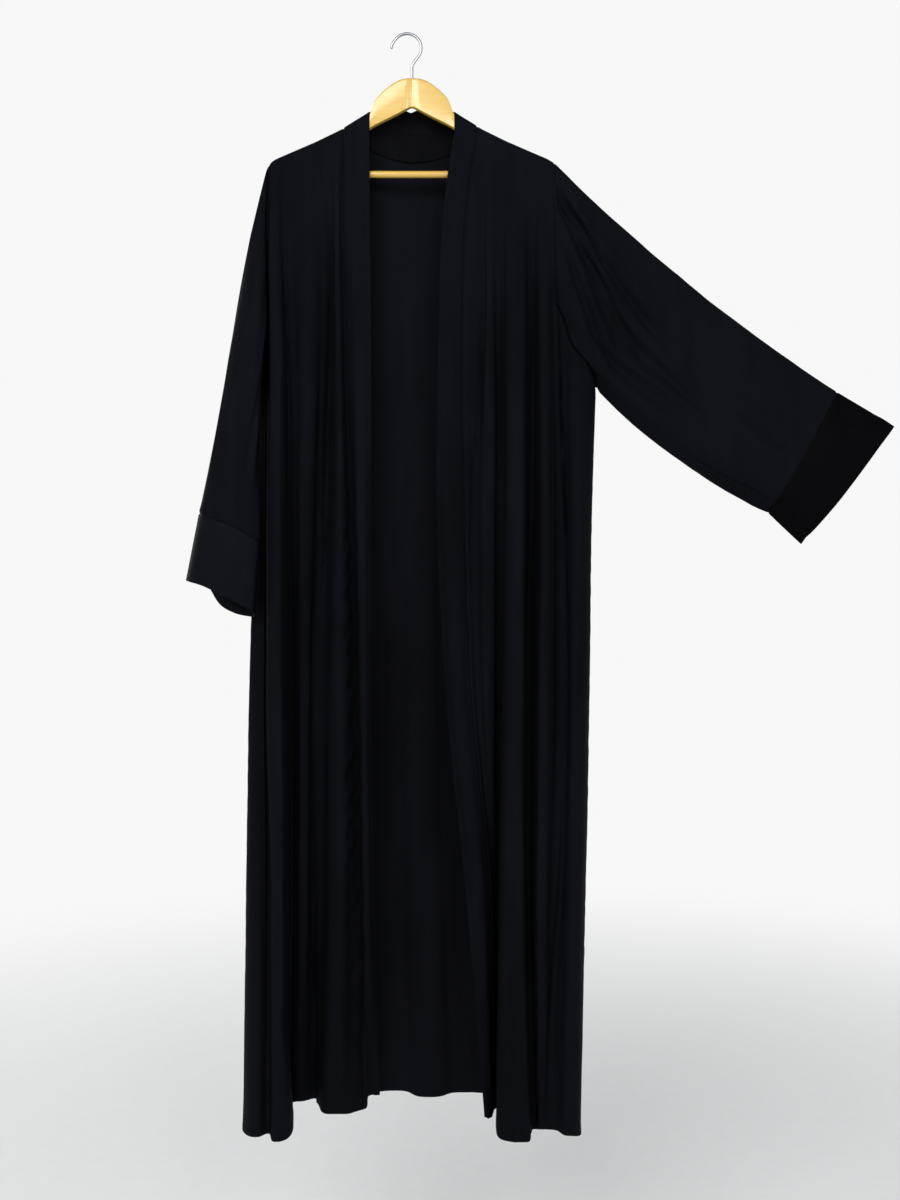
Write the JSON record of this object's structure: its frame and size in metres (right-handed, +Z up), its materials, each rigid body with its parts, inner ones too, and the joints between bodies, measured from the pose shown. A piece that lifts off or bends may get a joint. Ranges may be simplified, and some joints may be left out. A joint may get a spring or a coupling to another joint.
{
  "type": "abaya cloak on hanger",
  "caption": "Long open-front abaya cloak in black crepe with a plain band round the opening and wide doubled cuffs, on a wooden hanger with a trouser bar and a wire hook.",
  "frame": {"origin": "inside top of the hanger's hook, where it rests on a rail", "axes": "+Z up, front of the garment faces -Y, +X to the right of someone who looks at that front"},
  "size_m": [1.0278, 0.1328, 1.5839],
  "materials": {
    "black_crepe": "matt black crepe with a faint sheen",
    "black_satin_trim": "black satin-faced crepe, soft sheen",
    "varnished_wood": "honey-coloured clear varnish",
    "chrome": "polished"
  },
  "bodies": {
    "root": {"back": "black_crepe", "front_left": "black_crepe", "front_right": "black_crepe", "band_left": "black_crepe", "band_right": "black_crepe", "neck_facing": "black_crepe", "sleeve_left": "black_crepe", "sleeve_right": "black_crepe", "cuff_left": "black_satin_trim", "cuff_right": "black_satin_trim", "hanger_arm_left": "varnished_wood", "hanger_arm_right": "varnished_wood", "hanger_bar": "varnished_wood", "hanger_hook": "chrome"}
  },
  "joints": []
}
